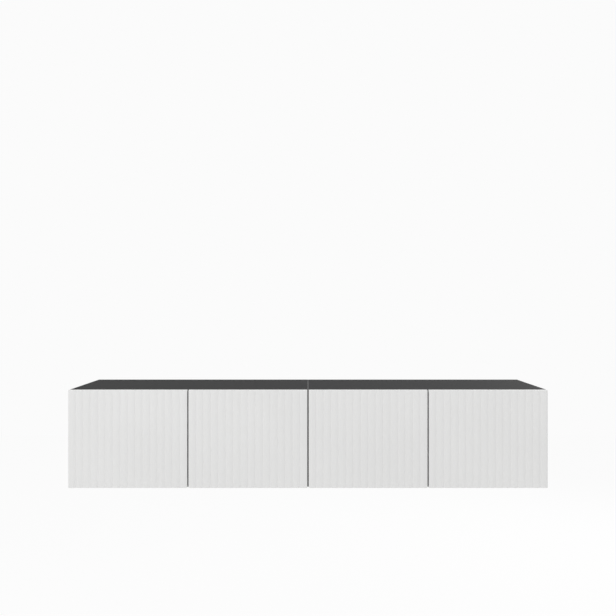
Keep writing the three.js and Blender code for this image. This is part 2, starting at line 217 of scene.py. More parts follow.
def meshOf(name, shells, finishes):
    points, faces, start = [], [], 0
    for shellPoints, shellFaces in shells:
        points.append(shellPoints)
        for block in shellFaces:
            faces += (block + start).tolist()
        start += len(shellPoints)
    mesh = bpy.data.meshes.new(name)
    mesh.from_pydata(np.concatenate(points).tolist(), [], faces)
    for finish in finishes:
        mesh.materials.append(finish)
    work = bmesh.new()
    work.from_mesh(mesh)
    bmesh.ops.remove_doubles(work, verts=work.verts, dist=shading["merge"])
    bmesh.ops.dissolve_degenerate(work, edges=work.edges, dist=shading["merge"])
    bmesh.ops.recalc_face_normals(work, faces=work.faces)
    work.to_mesh(mesh)
    work.free()
    return mesh


def carve(piece, shells, finish):
    name = piece.name + "_cutter"
    tool = bpy.data.objects.new(name, meshOf(name, shells, [finish]))
    bpy.context.scene.collection.objects.link(tool)
    cut = piece.modifiers.new("cut", "BOOLEAN")
    cut.operation = "DIFFERENCE"
    cut.solver = "EXACT"
    cut.material_mode = "TRANSFER"
    cut.object = tool
    bpy.context.view_layer.update()
    evaluated = piece.evaluated_get(bpy.context.evaluated_depsgraph_get())
    piece.data = bpy.data.meshes.new_from_object(evaluated)
    piece.modifiers.clear()
    bpy.data.objects.remove(tool)


# Smooth shading that keeps flat faces flat: normals weighted by face area, split at sharp edges
def smooth(piece):
    piece.data.polygons.foreach_set("use_smooth", [True] * len(piece.data.polygons))
    piece.data.set_sharp_from_angle(angle=math.radians(shading["sharpDegrees"]))
    weighted = piece.modifiers.new("weighted", "WEIGHTED_NORMAL")
    weighted.keep_sharp = True
    weighted.weight = shading["weight"]


# The shells of one round of cuts stay clear of each other; a shell that crosses another has its own round
def makePiece(name, shells, finishes, body, nodes=(), cutRounds=(), cutFinish=None):
    finishes = finishes if isinstance(finishes, list) else [finishes]
    piece = bpy.data.objects.new(name, meshOf(name, shells, finishes))
    bpy.context.scene.collection.objects.link(piece)
    for cuts in cutRounds:
        carve(piece, cuts, cutFinish or finishes[0])
    smooth(piece)
    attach(piece, body)
    if nodes:
        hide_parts(*nodes)
    return piece


# The finish of each face follows from its normal
def markFaces(piece, chooseMark):
    count = len(piece.data.polygons)
    normals, marks = np.zeros(count * 3), np.zeros(count, int)
    piece.data.polygons.foreach_get("normal", normals)
    piece.data.polygons.foreach_get("material_index", marks)
    piece.data.polygons.foreach_set("material_index", chooseMark(normals.reshape(-1, 3), marks))


# Finishes: colors are given by the pattern's value, and so is the roughness between its two limits

patternLimits = (0.3, 0.7)  # the values between which most of a pattern lies


def noise(scale, detail, stretch=(1, 1, 1)):
    return dict(kind="ShaderNodeTexNoise", output="Fac", scale=scale, detail=detail, stretch=stretch)


def cells(scale, output):
    return dict(kind="ShaderNodeTexVoronoi", output=output, scale=scale, detail=3.0, stretch=(1, 1, 1))


looks = dict(
    whiteLacquer=dict(
        colors={0.3: (0.77815, 0.77815, 0.77323), 0.7: (0.7979, 0.7979, 0.79285)},
        roughness=(0.36, 0.44), pattern=noise(3.0, 3.0),
        relief=dict(pattern=noise(700.0, 2.0), strength=0.35, height=0.02 * mm),
    ),
    charcoalMelamine=dict(
        colors={0.3: (0.03767, 0.03767, 0.03832), 0.7: (0.04293, 0.04293, 0.04367)}, specular=0.04,
        roughness=(0.77, 0.83), pattern=noise(5.0, 4.0),
        relief=dict(pattern=noise(2600.0, 2.0), strength=0.5, height=0.03 * mm),
    ),
    smoothBand=dict(colors={0: (0.04, 0.04, 0.041)}, roughness=(0.31, 0.37), pattern=noise(1500.0, 2.0)),
    rawChipboard=dict(
        colors={0.35: (0.22, 0.14, 0.08), 0.6: (0.46, 0.33, 0.2)}, specular=0.2,
        roughness=(0.85, 0.85), pattern=noise(300.0, 5.0),
        relief=dict(pattern=cells(900.0, "Distance"), strength=0.6, height=0.3 * mm),
    ),
    rawHardboard=dict(
        colors={0.35: (0.17, 0.1, 0.055), 0.65: (0.3, 0.19, 0.105)}, specular=0.25,
        roughness=(0.75, 0.75), pattern=noise(700.0, 6.0, (1, 1, 0.35)),
        relief=dict(pattern=noise(700.0, 6.0, (1, 1, 0.35)), strength=0.5, height=0.1 * mm),
    ),
    nickelSteel=dict(
        colors={0: (0.68, 0.675, 0.66)}, metallic=1.0,
        roughness=(0.27, 0.33), pattern=noise(60.0, 2.0),
    ),
    zincSteel=dict(
        colors={0.2: (0.43, 0.4472, 0.4687), 0.8: (0.55, 0.572, 0.5995)}, metallic=1.0,
        roughness=(0.36, 0.48), pattern=cells(160.0, "Color"),
    ),
    mouldedPlastic=dict(
        colors={0: (0.34, 0.35, 0.36)}, roughness=(0.44, 0.56), pattern=noise(2200.0, 2.0),
        relief=dict(pattern=noise(2200.0, 2.0), strength=0.5, height=0.04 * mm),
    ),
)


def addPattern(tree, pattern):
    coordinates = tree.nodes.new("ShaderNodeTexCoord")
    mapping = tree.nodes.new("ShaderNodeMapping")
    mapping.inputs["Scale"].default_value = pattern["stretch"]
    field = tree.nodes.new(pattern["kind"])
    field.inputs["Scale"].default_value = pattern["scale"]
    field.inputs["Detail"].default_value = pattern["detail"]
    tree.links.new(coordinates.outputs["Object"], mapping.inputs["Vector"])
    tree.links.new(mapping.outputs["Vector"], field.inputs["Vector"])
    return field.outputs[pattern["output"]]


def linkColors(tree, source, colors, target):
    band = tree.nodes.new("ShaderNodeValToRGB")
    for element, (place, color) in zip(band.color_ramp.elements, colors.items()):
        element.position = place
        element.color = (*color, 1)
    tree.links.new(source, band.inputs["Fac"])
    tree.links.new(band.outputs["Color"], target)


def linkRoughness(tree, source, limits, target):
    band = tree.nodes.new("ShaderNodeMapRange")
    for name, value in zip(("From Min", "From Max", "To Min", "To Max"), (*patternLimits, *limits)):
        band.inputs[name].default_value = value
    tree.links.new(source, band.inputs["Value"])
    tree.links.new(band.outputs["Result"], target)


def linkRelief(tree, relief, target):
    bump = tree.nodes.new("ShaderNodeBump")
    bump.inputs["Strength"].default_value = relief["strength"]
    bump.inputs["Distance"].default_value = relief["height"]
    tree.links.new(addPattern(tree, relief["pattern"]), bump.inputs["Height"])
    tree.links.new(bump.outputs["Normal"], target)


def makeFinish(name):
    look = looks[name]
    finish = bpy.data.materials.new(name)
    finish.use_nodes = True
    tree = finish.node_tree
    inputs = tree.nodes["Principled BSDF"].inputs
    inputs["Base Color"].default_value = (*look["colors"][max(look["colors"])], 1)
    inputs["Roughness"].default_value = sum(look["roughness"]) / 2
    inputs["Metallic"].default_value = look.get("metallic", 0.0)
    inputs["Specular IOR Level"].default_value = look.get("specular", 0.5)
    source = addPattern(tree, look["pattern"])
    if len(look["colors"]) > 1:
        linkColors(tree, source, look["colors"], inputs["Base Color"])
    if look["roughness"][0] < look["roughness"][1]:
        linkRoughness(tree, source, look["roughness"], inputs["Roughness"])
    if "relief" in look:
        linkRelief(tree, look["relief"], inputs["Normal"])
    return finish


white = makeFinish("whiteLacquer")
charcoal = makeFinish("charcoalMelamine")
banding = makeFinish("smoothBand")
core = makeFinish("rawChipboard")
brown = makeFinish("rawHardboard")
nickel = makeFinish("nickelSteel")
zinc = makeFinish("zincSteel")
plastic = makeFinish("mouldedPlastic")
print("stage 2: finishes ready")

# Screws and locks with a cross recess, set into what they hold

screw = dict(radius=3.6 * mm, height=1.6 * mm, brim=0.92, rim=0.45, domeSteps=6, steps=28)
screwCross = dict(reach=1.9 * mm, half=0.55 * mm, depth=1.0 * mm, edge=0.15 * mm, overrun=1 * mm)


# The head's section is flat underneath, upright at the rim up to rim * height, and from there a
# quarter ellipse to the top
def screwHead(centre, axis, way, radius, height):
    t = np.linspace(0, np.pi / 2, screw["domeSteps"])
    dome = np.stack([radius * np.cos(t), height * (screw["rim"] + (1 - screw["rim"]) * np.sin(t))], axis=1)
    section = np.concatenate([[[0, 0], [radius * screw["brim"], 0]], dome])
    section[:, 1] *= way
    return turned(section, centre, axis, screw["steps"])


# Two bars that cross at the place, sunk a depth below the height that the head's top has
def crossShells(place, axis, way, height, cross):
    index = "xyz".index(axis)
    others = [i for i in range(3) if i != index]
    ends = sorted(place[index] + way * (height + step) for step in (-cross["depth"], cross["overrun"]))
    shells = []
    for first, second in (others, others[::-1]):
        low, high = np.array(place, float), np.array(place, float)
        low[index], high[index] = ends
        low[first] -= cross["reach"]
        high[first] += cross["reach"]
        low[second] -= cross["half"]
        high[second] += cross["half"]
        shells.append(board(low, high, cross["edge"], axis, cutter["edgeSteps"]))
    return shells


def recessHeads(name, heads, places, axis, way, height, cross, finish, body):
    bars = [crossShells(place, axis, way, height, cross) for place in places]
    rounds = [[pair[i] for pair in bars] for i in range(2)]
    makePiece(name, heads, finish, body, cutRounds=rounds)


def buildScrews(name, places, axis, way, finish, body, radius=screw["radius"], height=screw["height"]):
    heads = [screwHead(place, axis, way, radius, height) for place in places]
    recessHeads(name, heads, places, axis, way, height, screwCross, finish, body)


# Carcass panels

panel = dict(edge=0.8 * mm, grooveDepth=8 * mm, seam=0.02 * mm, nearMiddle=1 * mm, square=0.9999)
pinHole = dict(radius=2.65 * mm, depth=12 * mm, pitch=32 * mm, perRow=3, fromFront=37 * mm,
               fromShelfRear=58.5 * mm, aboveShelfFoot=1.5 * mm, steps=20)
cam = dict(radius=7.5 * mm, bore=12.5 * mm, inset=0.2 * mm, clearance=0.1 * mm, edge=0.5 * mm,
           fromEnd=24 * mm, fromFront=68 * mm, fromRear=110 * mm, steps=40)
camCross = dict(reach=4.6 * mm, half=0.9 * mm, depth=2.4 * mm, edge=0.2 * mm, overrun=1 * mm)
railNotch = dict(below=14 * mm)
boltHole = dict(radius=4.3 * mm, steps=24)
cableHole = dict(radius=30 * mm, aboveFloor=62 * mm, steps=64)
hookWindow = dict(side=2 * mm, below=14 * mm, above=5 * mm)
backSheet = dict(edge=0.3 * mm, steps=3, facesFront=-0.5)


# The bolts pull the cabinets together, so what faces the middle reaches it
def drawnTogether(low, high):
    low, high = low.copy(), high.copy()
    if abs(low[0]) < panel["nearMiddle"]:
        low[0] = panel["seam"]
    if abs(high[0]) < panel["nearMiddle"]:
        high[0] = -panel["seam"]
    return low, high


# A board of the carcass: faces that lie square to an axis keep the first finish, and its rounded edges
# get the banding
def buildBoard(node, low, high, axis, cutRounds=()):
    piece = makePiece(f"{node}_finished", [board(low, high, panel["edge"], axis)], [charcoal, banding],
                      "carcass", [node], cutRounds, core)
    markFaces(piece, lambda normals, marks: np.where(
        (marks == 0) & (np.abs(normals).max(axis=1) < panel["square"]), 1, marks))


def backBand():
    back = nodeBox["back_panel_left"]
    return back[0][1] - slack, back[1][1] + slack


# The two faces between which a bay lies
def bayFaces(cabinet, bay):
    side, divider = nodeBox[f"side_panel_{cabinet}_{bay}"], nodeBox[f"divider_{cabinet}"]
    first, second = (side, divider) if side[0][0] < divider[0][0] else (divider, side)
    return first[1][0], second[0][0]


def buildTopAndBottom(cabinet):
    back = nodeBox[f"back_panel_{cabinet}"]
    grooveY = backBand()
    for place, up in (("top", 1), ("bottom", -1)):
        node = f"{place}_panel_{cabinet}"
        low, high = drawnTogether(*nodeBox[node])
        inside = low[2] if up > 0 else high[2]
        grooveZ = sorted((inside + up * panel["grooveDepth"], inside - up * cutter["overrun"]))
        groove = grooveShell((back[0][0], grooveY[0], grooveZ[0]), (back[1][0], grooveY[1], grooveZ[1]))
        buildBoard(node, low, high, "x", [[groove]])


def pinPlaces():
    low, high = nodeBox["shelf_left_outer"]
    z = low[2] + pinHole["aboveShelfFoot"]
    rows = (nodeBox["side_panel_left_outer"][0][1] + pinHole["fromFront"], high[1] - pinHole["fromShelfRear"])
    steps = (np.arange(pinHole["perRow"]) - (pinHole["perRow"] - 1) / 2) * pinHole["pitch"]
    return rows, z, z + steps


def pinHoles(fromX, toX):
    rows, _, heights = pinPlaces()
    ends = sorted((fromX, toX))
    return [boreShell((0, y, z), "x", pinHole["radius"], *ends, pinHole["steps"])
            for y in rows for z in heights]


# Each upright is drawn to the top and the bottom by four cam locks, sunk into the face that inward leaves
def camPlaces(low, high, faceX):
    rows = (low[1] + cam["fromFront"], -cam["fromRear"])
    return [(faceX, y, z) for y in rows for z in (low[2] + cam["fromEnd"], high[2] - cam["fromEnd"])]


def camBores(places, inward):
    shells = []
    for x, y, z in places:
        ends = sorted((x - inward * cam["bore"], x + inward * cutter["overrun"]))
        shells.append(boreShell((0, y, z), "x", cam["radius"], *ends, cam["steps"]))
    return shells


def buildCams(node, places, inward):
    heads = []
    for x, y, z in places:
        ends = sorted((x - inward * (cam["bore"] - cam["clearance"]), x - inward * cam["inset"]))
        heads.append(rod((0, y, z), "x", cam["radius"] - cam["clearance"], *ends, cam["edge"], cam["steps"]))
    recessHeads(f"{node}_cams", heads, places, "x", inward, -cam["inset"], camCross, zinc, "carcass")


def middleCuts(low, high):
    rail = nodeBox["wall_rail"]
    reach = (low[0] - cutter["overrun"], high[0] + cutter["overrun"])
    notch = grooveShell((reach[0], rail[0][1] - slack, rail[0][2] - railNotch["below"]),
                        (reach[1], cutter["overrun"], rail[1][2] + slack))
    centres = [sum(nodeBox[f"cabinet_bolt_{place}"]) / 2 * (0, 1, 1) for place in ("front", "rear")]
    return [notch] + [boreShell(c, "x", boltHole["radius"], *reach, boltHole["steps"]) for c in centres]


def buildSides(cabinet, outward):
    grooveY = backBand()
    for bay, inward in (("outer", -outward), ("inner", outward)):
        node = f"side_panel_{cabinet}_{bay}"
        low, high = drawnTogether(*nodeBox[node])
        face = high[0] if inward > 0 else low[0]
        grooveX = sorted((face - inward * panel["grooveDepth"], face + inward * cutter["overrun"]))
        cuts = [grooveShell((grooveX[0], grooveY[0], low[2] - cutter["overrun"]),
                            (grooveX[1], grooveY[1], high[2] + cutter["overrun"]))]
        cuts += pinHoles(face - inward * pinHole["depth"], face + inward * cutter["overrun"])
        locks = camPlaces(low, high, face)
        cuts += camBores(locks, inward)
        if bay == "inner":
            cuts += middleCuts(low, high)
        buildBoard(node, low, high, "z", [cuts])
        buildCams(node, locks, inward)


def buildDivider(cabinet, outward):
    node = f"divider_{cabinet}"
    low, high = nodeBox[node]
    locks = camPlaces(low, high, high[0] if outward > 0 else low[0])
    cuts = pinHoles(low[0] - cutter["overrun"], high[0] + cutter["overrun"]) + camBores(locks, outward)
    buildBoard(node, low, high, "z", [cuts])
    buildCams(node, locks, outward)


# Where the hooks pass over the rail
def neckUnder():
    return nodeBox["wall_rail"][1][2] + slack


# The sheet is charcoal towards the bays and raw at its rear, where the cables come out
def buildBack(cabinet):
    node = f"back_panel_{cabinet}"
    low, high = nodeBox[node]
    floorTop = nodeBox[f"bottom_panel_{cabinet}"][1][2]
    reach = (low[1] - cutter["overrun"], high[1] + cutter["overrun"])
    cuts = []
    for bay in bays:
        faces = bayFaces(cabinet, bay)
        centre = (sum(faces) / 2, 0, floorTop + cableHole["aboveFloor"])
        cuts.append(boreShell(centre, "y", cableHole["radius"], *reach, cableHole["steps"]))
        box = nodeBox[f"hanger_{cabinet}_{bay}"]
        window = np.clip((box[0][0] - hookWindow["side"], box[1][0] + hookWindow["side"]), *faces)
        cuts.append(grooveShell((window[0], reach[0], neckUnder() - hookWindow["below"]),
                                (window[1], reach[1], neckUnder() + hookWindow["above"])))
    sheet = board(low, high, backSheet["edge"], "x", backSheet["steps"])
    piece = makePiece(f"{node}_finished", [sheet], [charcoal, brown], "carcass",
                      [node], [cuts], brown)
    markFaces(piece, lambda normals, marks: np.where(normals[:, 1] > backSheet["facesFront"], 1, 0))


for cabinet, outward in zip(cabinets, (-1, 1)):
    buildTopAndBottom(cabinet)
    buildSides(cabinet, outward)
    buildDivider(cabinet, outward)
    buildBack(cabinet)
print("stage 3: panels built")

# Shelves on support pins

shelf = dict(side=0.8 * mm, thickness=18 * mm)
support = dict(pinRadius=2.5 * mm, insert=7.5 * mm, pinEdge=0.5 * mm, pinSteps=20,
               collarRadius=3.6 * mm, collarFrom=0.1 * mm, collarTo=1.6 * mm, collarSteps=24,
               saddle=2 * mm, saddleFrom=0.8 * mm, saddleLength=8 * mm, saddleOver=1 * mm,
               saddleWidth=12 * mm, saddleCorner=1.5 * mm, saddleEdge=0.4 * mm, underBoard=0.05 * mm)


# A pin in its hole, a collar against the upright, and a flat saddle under the board
def supportShells(face, way, y, z, underside):
    pinX = sorted((face - way * support["insert"], face + way * support["saddleLength"]))
    collarX = sorted((face + way * support["collarFrom"], face + way * support["collarTo"]))
    saddleX = sorted((face + way * support["saddleFrom"],
                      face + way * (support["saddleLength"] + support["saddleOver"])))
    half = support["saddleWidth"] / 2
    outline = roundOutline(rectangle(*saddleX, y - half, y + half), support["saddleCorner"])
    top = underside - support["underBoard"]
    return [rod((0, y, z), "x", support["pinRadius"], *pinX, support["pinEdge"], support["pinSteps"]),
            rod((0, y, z), "x", support["collarRadius"], *collarX, steps=support["collarSteps"]),
            drawnOut(outline, top - support["saddle"], top, support["saddleEdge"], "z")]


def buildShelf(cabinet, bay):
    node = f"shelf_{cabinet}_{bay}"
    low, high = nodeBox[node]
    left, right = bayFaces(cabinet, bay)
    boardLow = np.array([left + shelf["side"], low[1], high[2] - shelf["thickness"]])
    boardHigh = np.array([right - shelf["side"], high[1], high[2]])
    buildBoard(node, boardLow, boardHigh, "x")
    rows, z, _ = pinPlaces()
    shells = []
    for face, way in ((left, 1), (right, -1)):
        for y in rows:
            shells += supportShells(face, way, y, z, boardLow[2])
    makePiece(f"{node}_pins", shells, nickel, "carcass")


for cabinet in cabinets:
    for bay in bays:
        buildShelf(cabinet, bay)
print("stage 4: shelves built")

# Doors

door = dict(ribs=16, ribDepth=3 * mm, samples=22, edge=1.0 * mm, edgeSteps=5,
            boreRadius=17.8 * mm, boreDepth=11.8 * mm, boreSteps=64)


# Across the door the front is a row of shallow arcs, each ribDepth * (1 - u^2) high at a share u of
# its half width. Up the door every section is a box with quarter-round corners, so the surface is a
# function of the place across and of the way round the section, and strips close its two ends.
def doorShell(low, high):
    rows = door["ribs"] * door["samples"]
    across = np.arange(rows + 1) / door["samples"]
    u = 2 * (across - np.floor(across)) - 1
    u[-1] = 1
    u = np.sin(np.clip(u, -1, 1) * np.pi / 2)  # closer samples near the grooves
    rib = np.minimum(np.floor(across), door["ribs"] - 1)
    x = low[0] + (rib + (u + 1) / 2) * (high[0] - low[0]) / door["ribs"]
    height = door["ribDepth"] * (1 - u ** 2)
    frontY = low[1] + door["ribDepth"] - height
    edge, t = door["edge"], np.linspace(0, np.pi / 2, door["edgeSteps"])
    fromEnd = np.minimum(x - low[0], high[0] - x)
    dip = edge - np.sqrt(np.maximum(edge ** 2 - np.maximum(edge - fromEnd, 0) ** 2, 0))
    near, far = (frontY + dip)[:, None], (high[1] - dip)[:, None]
    foot, head = (low[2] + dip)[:, None], (high[2] - dip)[:, None]
    cornerY = edge * (1 - np.sin(t))
    cornerZ = edge * (1 - np.cos(t))
    y = np.concatenate([near + cornerY, near + cornerY[::-1], far - cornerY, far - cornerY[::-1]], axis=1)
    z = np.concatenate([foot + cornerZ, head - cornerZ[::-1], head - cornerZ, foot + cornerZ[::-1]], axis=1)
    return cappedTube(np.stack(np.broadcast_arrays(x[:, None], y, z), axis=-1))


def cupCentre(number, level):
    return sum(nodeBox[f"hinge_cup_{number}_{level}"]) / 2


def buildDoor(number):
    node = f"door_{number}"
    low, high = nodeBox[node]
    ends = (high[1] - door["boreDepth"], high[1] + cutter["overrun"])
    centres = [cupCentre(number, level) * (1, 0, 1) for level in levels]
    bores = [boreShell(c, "y", door["boreRadius"], *ends, door["boreSteps"]) for c in centres]
    makePiece(f"{node}_finished", [doorShell(low, high)], white, f"hung_door_{number}",
              [node], [bores])


for number in doorNumbers:
    buildDoor(number)
print("stage 5: doors built")

# Concealed hinges: a cup in the door, a bowed link, and an arm on a plate in the cabinet

pivotPin = dict(radius=1.5 * mm, steps=24)
cup = dict(radius=17.5 * mm, wall=1.2 * mm, depth=11.5 * mm, bend=4 * mm, bendSteps=7, bowlSteps=64,
           plate=1.1 * mm, wing=11 * mm, reach=30 * mm, squareness=8.0, steps=144, edge=0.35 * mm,
           edgeSteps=4, rimDrop=0.1 * mm, pinEdge=0.2 * mm,
           screwOut=22.5 * mm, screwSunk=0.2 * mm, screwRadius=3.4 * mm, screwHeight=1.0 * mm)


# The flange's outer edge lies, in each direction, at the further one of the cup's rim and of a strip
# with round corners, |x / wing|^n + |z / reach|^n = 1. The plate's section runs from the mouth along its
# underside, round two quarter-round edges and back along its face.
def flangeShell(centre, seatY):
    angle = np.linspace(0, 2 * np.pi, cup["steps"], endpoint=False)
    n, edge, plate = cup["squareness"], cup["edge"], cup["plate"]
    strip = (np.abs(np.cos(angle) / cup["wing"]) ** n + np.abs(np.sin(angle) / cup["reach"]) ** n) ** (-1 / n)
    outer = np.maximum(cup["radius"], strip)
    mouth = np.full_like(outer, cup["radius"] - cup["wall"])
    t = np.linspace(0, np.pi / 2, cup["edgeSteps"])[:, None]
    radii = np.concatenate([[mouth], outer - edge * (1 - np.sin(t)), outer - edge * (1 - np.cos(t)), [mouth]])
    lift = np.concatenate([[[0]], edge * (1 - np.cos(t)), plate - edge * (1 - np.sin(t)), [[plate]]])
    surface = placed(centre[0] + radii * np.cos(angle), centre[2] + radii * np.sin(angle), seatY + lift, "y")
    return surface.reshape(-1, 3), [gridFaces(len(lift), cup["steps"], True, True)]


# The bowl's section: from the middle of the floor outside, round its corner, up to the rim and back
# down inside, a wall's thickness away
def bowlShell(centre, seatY):
    radius, wall, outerBend = cup["radius"], cup["wall"], cup["bend"]
    floor = seatY - slack - cup["depth"]
    rim = seatY + cup["plate"] - cup["rimDrop"]
    t = np.linspace(0, np.pi / 2, cup["bendSteps"])
    bends = [np.stack([radius - outerBend + bend * np.sin(t), floor + outerBend - bend * np.cos(t)], axis=1)
             for bend in (outerBend, outerBend - wall)]
    section = np.concatenate([[[0, floor]], bends[0], [[radius, rim], [radius - wall, rim]], bends[1][::-1],
                              [[0, floor + wall]]])
    return turned(section, (centre[0], 0, centre[2]), "y", cup["bowlSteps"])


# The cup's pin spans the bowl's mouth where the pivot crosses it
def buildCup(number, level):
    node = f"hinge_cup_{number}_{level}"
    centre = cupCentre(number, level)
    seatY = nodeBox[f"door_{number}"][1][1] + slack
    pivot = jointPlace[f"door_swing_{number}"]
    offset = abs(centre[0] - pivot[0])
    half = math.sqrt((cup["radius"] - cup["wall"] / 2) ** 2 - (offset + pivotPin["radius"]) ** 2)
    pin = rod((pivot[0], pivot[1], centre[2]), "z", pivotPin["radius"], -half, half,
              cup["pinEdge"], pivotPin["steps"])
    makePiece(f"{node}_finished", [flangeShell(centre, seatY), bowlShell(centre, seatY), pin], nickel,
              f"hung_door_{number}", [node])
    screwY = seatY + cup["plate"] - cup["screwSunk"]
    places = [(centre[0], screwY, centre[2] + side * cup["screwOut"]) for side in (-1, 1)]
    buildScrews(f"{node}_screws", places, "y", 1, nickel, f"hung_door_{number}",
                cup["screwRadius"], cup["screwHeight"])


linkBar = dict(half=2 * mm, eye=3.2 * mm, width=12 * mm, bow=16 * mm, bowShare=0.85, steps=24, edge=0.4 * mm)


# The link's middle line is a quadratic curve: it leaves the arm's pivot, bows into the cup and ends at
# the cup's pivot. The outline lies half a thickness either side of it.
def linkOutline(armPivot, cupPivot, side):
    along = cupPivot - armPivot
    across = np.array([along[1], -along[0]]) / np.linalg.norm(along) * side
    bowPoint = armPivot + along * linkBar["bowShare"] - across * linkBar["bow"]
    t = np.linspace(0, 1, linkBar["steps"])[:, None]
    line = (1 - t) ** 2 * armPivot + 2 * t * (1 - t) * bowPoint + t ** 2 * cupPivot
    slope = 2 * (1 - t) * (bowPoint - armPivot) + 2 * t * (cupPivot - bowPoint)
    slope /= np.linalg.norm(slope, axis=1, keepdims=True)
    normal = np.stack([slope[:, 1], -slope[:, 0]], axis=1)
    points = np.concatenate([line + normal * linkBar["half"], (line - normal * linkBar["half"])[::-1]])
    return points, np.concatenate([normal, -normal[::-1]])


# The bar, and an eye round each pivot: a rod's section that stops short of the pin
def buildLink(number, level):
    node = f"hinge_link_{number}_{level}"
    low, high = nodeBox[node]
    pivots = [jointPlace[f"{joint}_{number}"][:2] for joint in ("link_swing", "door_swing")]
    outline = linkOutline(*pivots, jointSide[f"door_swing_{number}"])
    shells = [drawnOut(outline, low[2], high[2], linkBar["edge"], "z")]
    for pivot in pivots:
        section = rodSection(linkBar["eye"], low[2], high[2], linkBar["edge"])
        section[[0, -1], 0] = pivotPin["radius"] + slack
        shells.append(turned(section, (*pivot, 0), "z", closed=True))
    makePiece(f"{node}_finished", shells, nickel, f"links_{number}", [node])


arm = dict(depth=4.5 * mm, wall=1.7 * mm, edge=0.3 * mm, noseRadius=4.2 * mm, tailRadius=1.2 * mm,
           cheekSteps=7, webCorner=0.6 * mm, blockEdge=1.0 * mm, blockSetback=1 * mm,
           screwFront=12 * mm, screwRear=10 * mm, screwRadius=3.9 * mm, screwHeight=1.3 * mm)
plate = dict(thickness=3 * mm, wing=11 * mm, setback=37 * mm, tab=7.5 * mm, neck=9.5 * mm, edge=0.4 * mm,
             endCorner=5 * mm, innerCorner=1 * mm, wingCorner=1.5 * mm, screwOut=19 * mm)


# The plate is a cross: a long tab up and down with two short wings
def plateOutline(y, z, half):
    tab, wing, neck = plate["tab"], plate["wing"], plate["neck"]
    side = np.array([(-tab, -half), (tab, -half), (tab, -neck), (wing, -neck), (wing, neck), (tab, neck)])
    corners = np.concatenate([side, -side])
    end, inner, outer = plate["endCorner"], plate["innerCorner"], plate["wingCorner"]
    return roundOutline(corners + (y, z), np.array([end, end, inner, outer, outer, inner] * 2))


# Two cheeks hold the pin at the nose, a web joins them, and a block stands between the web and the plate
def buildArm(number, level):
    node = f"hinge_arm_{number}_{level}"
    low, high = nodeBox[node]
    side = jointSide[f"door_swing_{number}"]
    pivot = jointPlace[f"link_swing_{number}"]
    z = (low[2] + high[2]) / 2
    halfWidth = linkBar["width"] / 2 + slack + arm["wall"]
    inner, outer = pivot[0] - side * arm["depth"], pivot[0] + side * arm["depth"]
    panelFace = low[0] if side > 0 else high[0]
    bodyFront = pivot[1] + linkBar["eye"] + slack
    plateY = nodeBox["side_panel_left_outer"][0][1] + plate["setback"]
    cheek = roundOutline(rectangle(*sorted((inner, outer)), low[1], high[1]),
                         [arm["noseRadius"]] * 2 + [arm["tailRadius"]] * 2, arm["cheekSteps"])
    shells = []
    for way in (-1, 1):
        ends = sorted((z + way * (halfWidth - arm["wall"]), z + way * halfWidth))
        shells.append(drawnOut(cheek, *ends, arm["edge"], "z"))
    webX = sorted((outer, outer - side * arm["wall"]))
    web = roundOutline(rectangle(*webX, z - halfWidth, z + halfWidth), arm["webCorner"])
    shells.append(drawnOut(web, bodyFront, high[1], arm["edge"], "y"))
    blockX = sorted((panelFace, outer - side * 2 * arm["wall"]))
    blockLow = (blockX[0], plateY - plate["wing"] + arm["blockSetback"], z - linkBar["width"] / 2)
    blockHigh = (blockX[1], high[1] - plate["wing"], z + linkBar["width"] / 2)
    shells.append(board(blockLow, blockHigh, arm["blockEdge"], "x"))
    pinHalf = halfWidth + slack
    shells.append(rod((pivot[0], pivot[1], z), "z", pivotPin["radius"], -pinHalf, pinHalf,
                      steps=pivotPin["steps"]))
    plateX = sorted((panelFace, panelFace + side * plate["thickness"]))
    shells.append(drawnOut(plateOutline(plateY, z, (high[2] - low[2]) / 2), *plateX, plate["edge"], "x"))
    makePiece(f"{node}_finished", shells, nickel, "carcass", [node])
    plateTop = panelFace + side * (plate["thickness"] - slack)
    places = [(plateTop, plateY, z + way * plate["screwOut"]) for way in (-1, 1)]
    buildScrews(f"{node}_plate_screws", places, "x", side, nickel, "carcass")
    webTop = outer - side * slack
    places = [(webTop, y, z) for y in (bodyFront + arm["screwFront"], high[1] - arm["screwRear"])]
    buildScrews(f"{node}_arm_screws", places, "x", side, nickel, "carcass",
                arm["screwRadius"], arm["screwHeight"])


for number in doorNumbers:
    for level in levels:
        buildCup(number, level)
        buildLink(number, level)
        buildArm(number, level)
print("stage 6: hinges built")

# Push latches

latch = dict(width=14 * mm, edge=1.2 * mm, bore=4.3 * mm, boreLead=1 * mm, boreWall=3 * mm, boreSteps=40,
             lug=2.5 * mm, lugLength=24 * mm, lugCorner=4 * mm, lugEdge=0.4 * mm,
             screwOut=11 * mm, screwSunk=0.2 * mm, screwRadius=3.2 * mm, screwHeight=1.3 * mm)
plunger = dict(shaft=3.6 * mm, shaftFrom=4 * mm, shaftEdge=0.4 * mm,
               tip=4 * mm, tipFrom=0.8 * mm, tipTo=5 * mm, tipEdge=0.5 * mm,
               magnet=3 * mm, magnetTo=1.5 * mm, magnetEdge=0.2 * mm, steps=40)
strike = dict(radius=7.5 * mm, thickness=0.9 * mm, steps=48)


